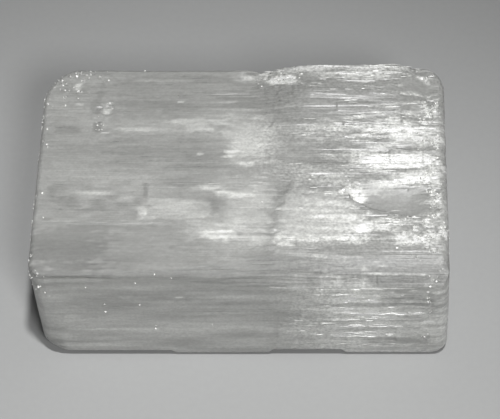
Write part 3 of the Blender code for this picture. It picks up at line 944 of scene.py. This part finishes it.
def block_mesh():
    """The crystal, with what its finish needs to know stored at each point."""
    rng = random.Random(SEED)
    top_laths = Laths(-HALF_Y, HALF_Y, TOP_LATHS, rng)
    side_laths = Laths(0, TOP, SIDE_LATHS, rng)
    points, faces = cuboid_grid(ROWS)
    x = (points[:, 0] / ROWS[0] * 2 - 1) * HALF_X
    y = (points[:, 1] / ROWS[1] * 2 - 1) * HALF_Y
    z = points[:, 2] / ROWS[2] * TOP
    frost = frost_share(x, y, z)
    places = shape_points(x, y, z, frost, top_laths, side_laths)
    mesh = bpy.data.meshes.new("crystal")
    mesh.from_pydata((fit_to_solid(places) * MM).tolist(), [], faces.tolist())
    mesh.shade_smooth()
    mesh.set_sharp_from_angle(angle=math.radians(SHARP_ANGLE))
    on_top = ramp(TOP_SKIN, z)
    milk = milk_share(x, y, z, frost)
    finish = {
        "milk": milk,
        "frost": frost,
        "calm": on_top * calm_share(x, y),
        "gleam": on_top * gleam_share(x, y),
        "coarse": coarse_share(x, y, z),
        "worn": edge_share(x, y, z) * (1 - 0.7 * right_share(x)),
        "splinters": splinter_share(x, y, z, milk),
        "grains": (frost + STRAY_GRAINS) * ramp(GROUND_GAP, z),
    }
    for look, values in finish.items():
        layer = mesh.attributes.new(look, "FLOAT", "POINT")
        layer.data.foreach_set("value", np.asarray(values, dtype=np.float32))
    join_flat_underside(mesh)
    return add_object("crystal", mesh)


# ---- splinters and grains
WHITENESS_SKEW = 2.6  # higher makes fewer of the splinters and grains white
SPLINTER_YAW = math.radians(2.5)
# Sizes are half of each piece's, in metres. A density is the most pieces on a square metre.
SPLINTERS = {
    "Share": "splinters", "Density": 2.6e6, "Seed": 3,
    "Smallest": (0.00022, 0.00004, 0.00003), "Largest": (0.0015, 0.00011, 0.00008),
    "Turn low": (-math.pi, 0.0, -SPLINTER_YAW), "Turn high": (math.pi, 0.0, SPLINTER_YAW),
    "Milk low": 0.35, "Milk high": 1.3,
}
GRAINS = {
    "Share": "grains", "Density": 8.0e6, "Seed": 8,
    "Smallest": (0.00006, 0.00005, 0.00004), "Largest": (0.00024, 0.00020, 0.00015),
    "Turn low": (-math.pi, -math.pi, -math.pi), "Turn high": (math.pi, math.pi, math.pi),
    "Milk low": 0.2, "Milk high": 1.5,
}


def splinter_mesh():
    """A sliver two units long that tapers to a chisel tip at both ends."""
    ring = ((0.0, 1.0), (1.0, 0.25), (0.35, -0.9), (-0.85, -0.35))
    points = [(-1.0, 0.0, 0.2)]
    for along, scale in ((-0.62, 1.0), (0.55, 0.85)):
        points += [(along, side * scale, up * scale) for side, up in ring]
    points += [(1.0, 0.15, 0.0)]
    count = len(ring)
    faces = []
    for k in range(count):
        following = (k + 1) % count
        faces.append((0, 1 + following, 1 + k))
        faces.append((1 + k, 1 + following, 1 + count + following, 1 + count + k))
        faces.append((1 + count + k, 1 + count + following, 1 + 2 * count))
    mesh = bpy.data.meshes.new("splinter")
    mesh.from_pydata(points, [], faces)
    return mesh


def grain_mesh():
    """A small skewed cleavage chip two units across."""
    outline = ((-1.0, -0.8), (0.7, -1.0), (1.0, 0.7), (-0.6, 1.0))
    points = []
    for up, shift in ((-1.0, 0.0), (1.0, 0.35)):
        points += [(along + shift, side, up) for along, side in outline]
    faces = [(3, 2, 1, 0), (4, 5, 6, 7), (0, 1, 5, 4), (1, 2, 6, 5), (2, 3, 7, 6), (3, 0, 4, 7)]
    mesh = bpy.data.meshes.new("grain")
    mesh.from_pydata(points, [], faces)
    return mesh


SCATTER_INPUTS = {
    "Geometry": "Geometry", "Shape": "Object", "Share": "String", "Density": "Float",
    "Seed": "Int", "Smallest": "Vector", "Largest": "Vector", "Turn low": "Vector",
    "Turn high": "Vector", "Milk low": "Float", "Milk high": "Float", "Material": "Material",
}


def scatter_tree():
    """Sows one small shape over the crystal, thickly where the named share is high."""
    tree = bpy.data.node_groups.new("sow shapes", "GeometryNodeTree")
    for name, kind in SCATTER_INPUTS.items():
        tree.interface.new_socket(name, in_out="INPUT", socket_type="NodeSocket" + kind)
    tree.interface.new_socket("Geometry", in_out="OUTPUT", socket_type="NodeSocketGeometry")
    given = tree.nodes.new("NodeGroupInput").outputs

    def node(kind, settings=None, links=None):
        added = tree.nodes.new(kind)
        for name, value in (settings or {}).items():
            setattr(added, name, value)
        for name, socket in (links or {}).items():
            tree.links.new(socket, added.inputs[name])
        return added

    share = node("GeometryNodeInputNamedAttribute", {"data_type": "FLOAT"}, {"Name": given["Share"]})
    density = node("ShaderNodeMath", {"operation": "MULTIPLY"}, {
        0: share.outputs[0], 1: given["Density"]})
    sown = node("GeometryNodeDistributePointsOnFaces", {"distribute_method": "RANDOM"}, {
        "Mesh": given["Geometry"], "Density": density.outputs[0], "Seed": given["Seed"]})
    shape = node("GeometryNodeObjectInfo", {}, {"Object": given["Shape"]})
    turn = node("FunctionNodeRandomValue", {"data_type": "FLOAT_VECTOR"}, {
        "Min": given["Turn low"], "Max": given["Turn high"], "Seed": given["Seed"]})
    size = node("FunctionNodeRandomValue", {"data_type": "FLOAT_VECTOR"}, {
        "Min": given["Smallest"], "Max": given["Largest"], "Seed": given["Seed"]})
    rotation = node("FunctionNodeEulerToRotation", {}, {"Euler": turn.outputs[0]})
    placed = node("GeometryNodeInstanceOnPoints", {}, {
        "Points": sown.outputs["Points"], "Instance": shape.outputs["Geometry"],
        "Rotation": rotation.outputs[0], "Scale": size.outputs[0]})
    chance = node("FunctionNodeRandomValue", {"data_type": "FLOAT"}, {"Seed": given["Seed"]})
    skewed = node("ShaderNodeMath", {"operation": "POWER"}, {0: chance.outputs[1]})
    skewed.inputs[1].default_value = WHITENESS_SKEW
    white = node("ShaderNodeMapRange", {}, {
        "Value": skewed.outputs[0], "To Min": given["Milk low"], "To Max": given["Milk high"]})
    marked = node("GeometryNodeStoreNamedAttribute", {"data_type": "FLOAT", "domain": "INSTANCE"}, {
        "Geometry": placed.outputs["Instances"], "Value": white.outputs[0]})
    marked.inputs["Name"].default_value = "milk"
    real = node("GeometryNodeRealizeInstances", {}, {"Geometry": marked.outputs["Geometry"]})
    painted = node("GeometryNodeSetMaterial", {}, {
        "Geometry": real.outputs["Geometry"], "Material": given["Material"]})
    result = node("NodeGroupOutput")
    tree.links.new(painted.outputs["Geometry"], result.inputs[0])
    return tree


def sow(name, tree, ground, shape, material, values):
    """Runs the tree on the crystal and keeps the result as a plain mesh inside the solid's box."""
    holder = add_object(name + " ground", ground.data.copy())
    pattern = add_object(name + " shape", shape)
    modifier = holder.modifiers.new("sow", "NODES")
    modifier.node_group = tree
    key = {item.name: item.identifier for item in tree.interface.items_tree if item.in_out == "INPUT"}
    modifier[key["Shape"]] = pattern
    modifier[key["Material"]] = material
    for label, value in values.items():
        modifier[key[label]] = value
    holder.update_tag()
    view = bpy.context.evaluated_depsgraph_get()
    mesh = bpy.data.meshes.new_from_object(holder.evaluated_get(view))
    mesh.name = name
    bpy.data.objects.remove(holder)
    bpy.data.objects.remove(pattern)
    points = np.empty(len(mesh.vertices) * 3, dtype=np.float32)
    mesh.vertices.foreach_get("co", points)
    points = points.reshape(-1, 3)
    low = np.array(LOW) + INSET * MM * np.array((1, 1, 0))
    high = np.array(HIGH) - INSET * MM
    mesh.vertices.foreach_set("co", np.clip(points, low, high).astype(np.float32).ravel())
    mesh.update()
    return add_object(name, mesh)


# ---- materials
class Field:
    """A shader socket that takes part in Python arithmetic."""

    def __init__(self, graph, socket):
        self.graph = graph
        self.socket = socket

    def _math(self, operation, *values):
        return self.graph.node("ShaderNodeMath", {"operation": operation}, dict(enumerate(values)))

    def __add__(self, other):
        return self._math("ADD", self, other)

    def __sub__(self, other):
        return self._math("SUBTRACT", self, other)

    def __rsub__(self, other):
        return self._math("SUBTRACT", other, self)

    def __mul__(self, other):
        return self._math("MULTIPLY", self, other)

    __radd__ = __add__
    __rmul__ = __mul__

    def clip(self):
        return self._math("MINIMUM", self._math("MAXIMUM", self, 0.0), 1.0)


class Graph:
    """Adds nodes to one material's tree."""

    def __init__(self, material):
        self.tree = material.node_tree

    def node(self, kind, settings=None, inputs=None, output=0):
        node = self.tree.nodes.new(kind)
        for name, value in (settings or {}).items():
            setattr(node, name, value)
        for name, value in (inputs or {}).items():
            if isinstance(value, Field):
                self.tree.links.new(value.socket, node.inputs[name])
            else:
                node.inputs[name].default_value = value
        return Field(self, node.outputs[output])

    def attribute(self, name):
        return self.node("ShaderNodeAttribute", {"attribute_name": name}, output="Fac")

    def noise(self, where, scale, detail, roughness=0.5):
        """Noise on stretched object coordinates. scale holds how many waves fit in a metre."""
        stretched = {"Vector": where, "Scale": scale}
        stretched = self.node("ShaderNodeMapping", {"vector_type": "POINT"}, stretched)
        inputs = {"Vector": stretched, "Scale": 1.0, "Detail": detail, "Roughness": roughness}
        return self.node("ShaderNodeTexNoise", {}, inputs)

    def shade(self, tone, tint):
        """The tint, darkened to the tone."""
        inputs = {"Factor": tone, 6: (0.0, 0.0, 0.0, 1.0), 7: tint}
        return self.node("ShaderNodeMix", {"data_type": "RGBA"}, inputs, output=2)

    def finish(self, surface, volume=None):
        output = self.tree.nodes.new("ShaderNodeOutputMaterial")
        self.tree.links.new(surface.socket, output.inputs["Surface"])
        if volume:
            self.tree.links.new(volume.socket, output.inputs["Volume"])


def new_material(name):
    material = bpy.data.materials.new(name)
    material.use_nodes = True
    material.node_tree.nodes.clear()
    return material, Graph(material)


CRYSTAL_IOR = 1.52
CRYSTAL_CLARITY = 0.3  # share of the light that passes straight into the crystal
CRYSTAL_GLOW = 0.75  # share of the rest that wanders about inside
GLOW_REACH = 0.006  # how far it wanders, in metres
CRYSTAL_TINT = (0.994, 1.0, 0.966, 1.0)
CLEAR_TONE = 0.376
WHITE_GAIN = 0.424  # the tone rises this much from clear crystal to plain milky
DEPTH_TINT = (0.86, 0.89, 0.87, 1.0)
DEPTH_DENSITY = 25.0
RELIEF_HEIGHT = 0.0002
FLOOR_TINT = (0.99, 1.0, 0.995, 1.0)
FLOOR_TONE = 0.292
# How many waves of each fine pattern fit in a metre, along, across and up.
FIBRE_WAVES = (110, 3200, 3200)
FLECK_WAVES = (700, 1700, 1700)
GRIT_WAVES = (2100, 2700, 2700)
PAPER_WAVES = (900, 900, 900)


def selenite_material(name, clarity, glow, dullness):
    """Clear to milky crystal, by the mesh's own attributes."""
    material, graph = new_material(name)
    where = graph.node("ShaderNodeTexCoord", output="Object")
    milk, frost, worn = map(graph.attribute, ("milk", "frost", "worn"))
    calm, gleam, coarse = map(graph.attribute, ("calm", "gleam", "coarse"))
    fibres = graph.noise(where, FIBRE_WAVES, detail=3, roughness=0.6)
    flecks = graph.noise(where, FLECK_WAVES, detail=2, roughness=0.6)
    grit = graph.noise(where, GRIT_WAVES, detail=1)
    broken = milk.clip()
    tone = CLEAR_TONE + milk * WHITE_GAIN + (fibres - 0.5) * 0.09 + (flecks - 0.5) * 0.12
    tone = tone + (grit - 0.5) * 0.3 * coarse
    tone = tone + ((grit - 0.5) * 0.95 + (flecks - 0.5) * 0.45) * broken * coarse
    roughness = dullness + frost * 0.1 + fibres * 0.1 + worn * 0.35 + broken * 0.1
    roughness = (roughness + calm * 0.16 - gleam * 0.1).clip()
    height = (fibres + grit * broken) * (1 - 0.85 * calm)
    relief = {"Height": height, "Strength": 0.35, "Distance": RELIEF_HEIGHT}
    shader = graph.node("ShaderNodeBsdfPrincipled", {}, {
        "Base Color": graph.shade(tone.clip(), CRYSTAL_TINT), "Roughness": roughness,
        "Normal": graph.node("ShaderNodeBump", {}, relief), "IOR": CRYSTAL_IOR,
        "Transmission Weight": clarity, "Subsurface Weight": glow,
        "Subsurface Scale": GLOW_REACH, "Subsurface Radius": (1.0, 1.0, 1.0)})
    absorb = None
    if clarity:
        depth = {"Color": DEPTH_TINT, "Density": DEPTH_DENSITY}
        absorb = graph.node("ShaderNodeVolumeAbsorption", {}, depth)
    graph.finish(shader, absorb)
    return material


def floor_material():
    material, graph = new_material("floor")
    where = graph.node("ShaderNodeTexCoord", output="Object")
    tone = FLOOR_TONE + graph.noise(where, PAPER_WAVES, detail=3) * 0.02
    colour = graph.shade(tone, FLOOR_TINT)
    graph.finish(graph.node("ShaderNodeBsdfPrincipled", {}, {"Base Color": colour, "Roughness": 0.75}))
    return material


# ---- floor, light and camera
CAMERA_TARGET = Vector((1.2, 1.1, 10.5)) * MM
CAMERA_DISTANCE = 0.367
CAMERA_HEIGHT = math.radians(56)
CAMERA_LENS = 149.2
FLOOR_SIZE = 3.0
# Lamps: name, kind, place, aim, power and size.
LAMPS = (
    ("key", "SPOT", (0.075, -0.13, 1.0), (-0.012, -0.052, 0.0), 37.3, 0.07),
    ("fill", "AREA", (0.32, -0.86, 1.04), (0.0, -0.03, 0.0), 9.9, 0.35),
)
KEY_CONE = math.radians(18.4)
ROOM_LIGHT = 0.115


def lay_floor():
    mesh = bpy.data.meshes.new("floor")
    half = FLOOR_SIZE / 2
    corners = [(-half, -half, 0), (half, -half, 0), (half, half, 0), (-half, half, 0)]
    mesh.from_pydata(corners, [], [(0, 1, 2, 3)])
    mesh.materials.append(floor_material())
    add_object("floor", mesh)


def add_light(name, kind, place, aim, power, size):
    """A lamp aimed at a place: a round area, or a spot with a soft edge."""
    data = bpy.data.lights.new(name, kind)
    data.energy = power
    if kind == "AREA":
        data.shape = "DISK"
        data.size = size
    else:
        data.shadow_soft_size = size / 2
        data.spot_size = KEY_CONE
        data.spot_blend = 1.0
    lamp = add_object(name, data)
    lamp.location = place
    lamp.rotation_euler = (Vector(aim) - Vector(place)).to_track_quat("-Z", "Y").to_euler()


def light_scene():
    for lamp in LAMPS:
        add_light(*lamp)
    world = bpy.data.worlds.new("studio")
    world.use_nodes = True
    background = world.node_tree.nodes["Background"]
    background.inputs["Color"].default_value = (1, 1, 1, 1)
    background.inputs["Strength"].default_value = ROOM_LIGHT
    bpy.context.scene.world = world


def place_camera():
    data = bpy.data.cameras.new("camera")
    data.lens = CAMERA_LENS
    data.sensor_width = 36.0
    data.clip_start = 0.01
    camera = add_object("camera", data)
    looking = Vector((0, math.cos(CAMERA_HEIGHT), -math.sin(CAMERA_HEIGHT)))
    camera.location = CAMERA_TARGET - looking * CAMERA_DISTANCE
    camera.rotation_euler = looking.to_track_quat("-Z", "Y").to_euler()
    bpy.context.scene.camera = camera


crystal = block_mesh()
crystal_material = selenite_material("selenite", CRYSTAL_CLARITY, CRYSTAL_GLOW, dullness=0.24)
crystal.data.materials.append(crystal_material)
chip_material = selenite_material("selenite chips", clarity=0.0, glow=0.0, dullness=0.2)
tree = scatter_tree()
splinters = sow("splinters", tree, crystal, splinter_mesh(), chip_material, SPLINTERS)
grains = sow("grains", tree, crystal, grain_mesh(), chip_material, GRAINS)
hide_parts(NODE)
for piece in (crystal, splinters, grains):
    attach(piece, BODY)
lay_floor()
light_scene()
place_camera()
bpy.context.scene.view_settings.view_transform = "Standard"
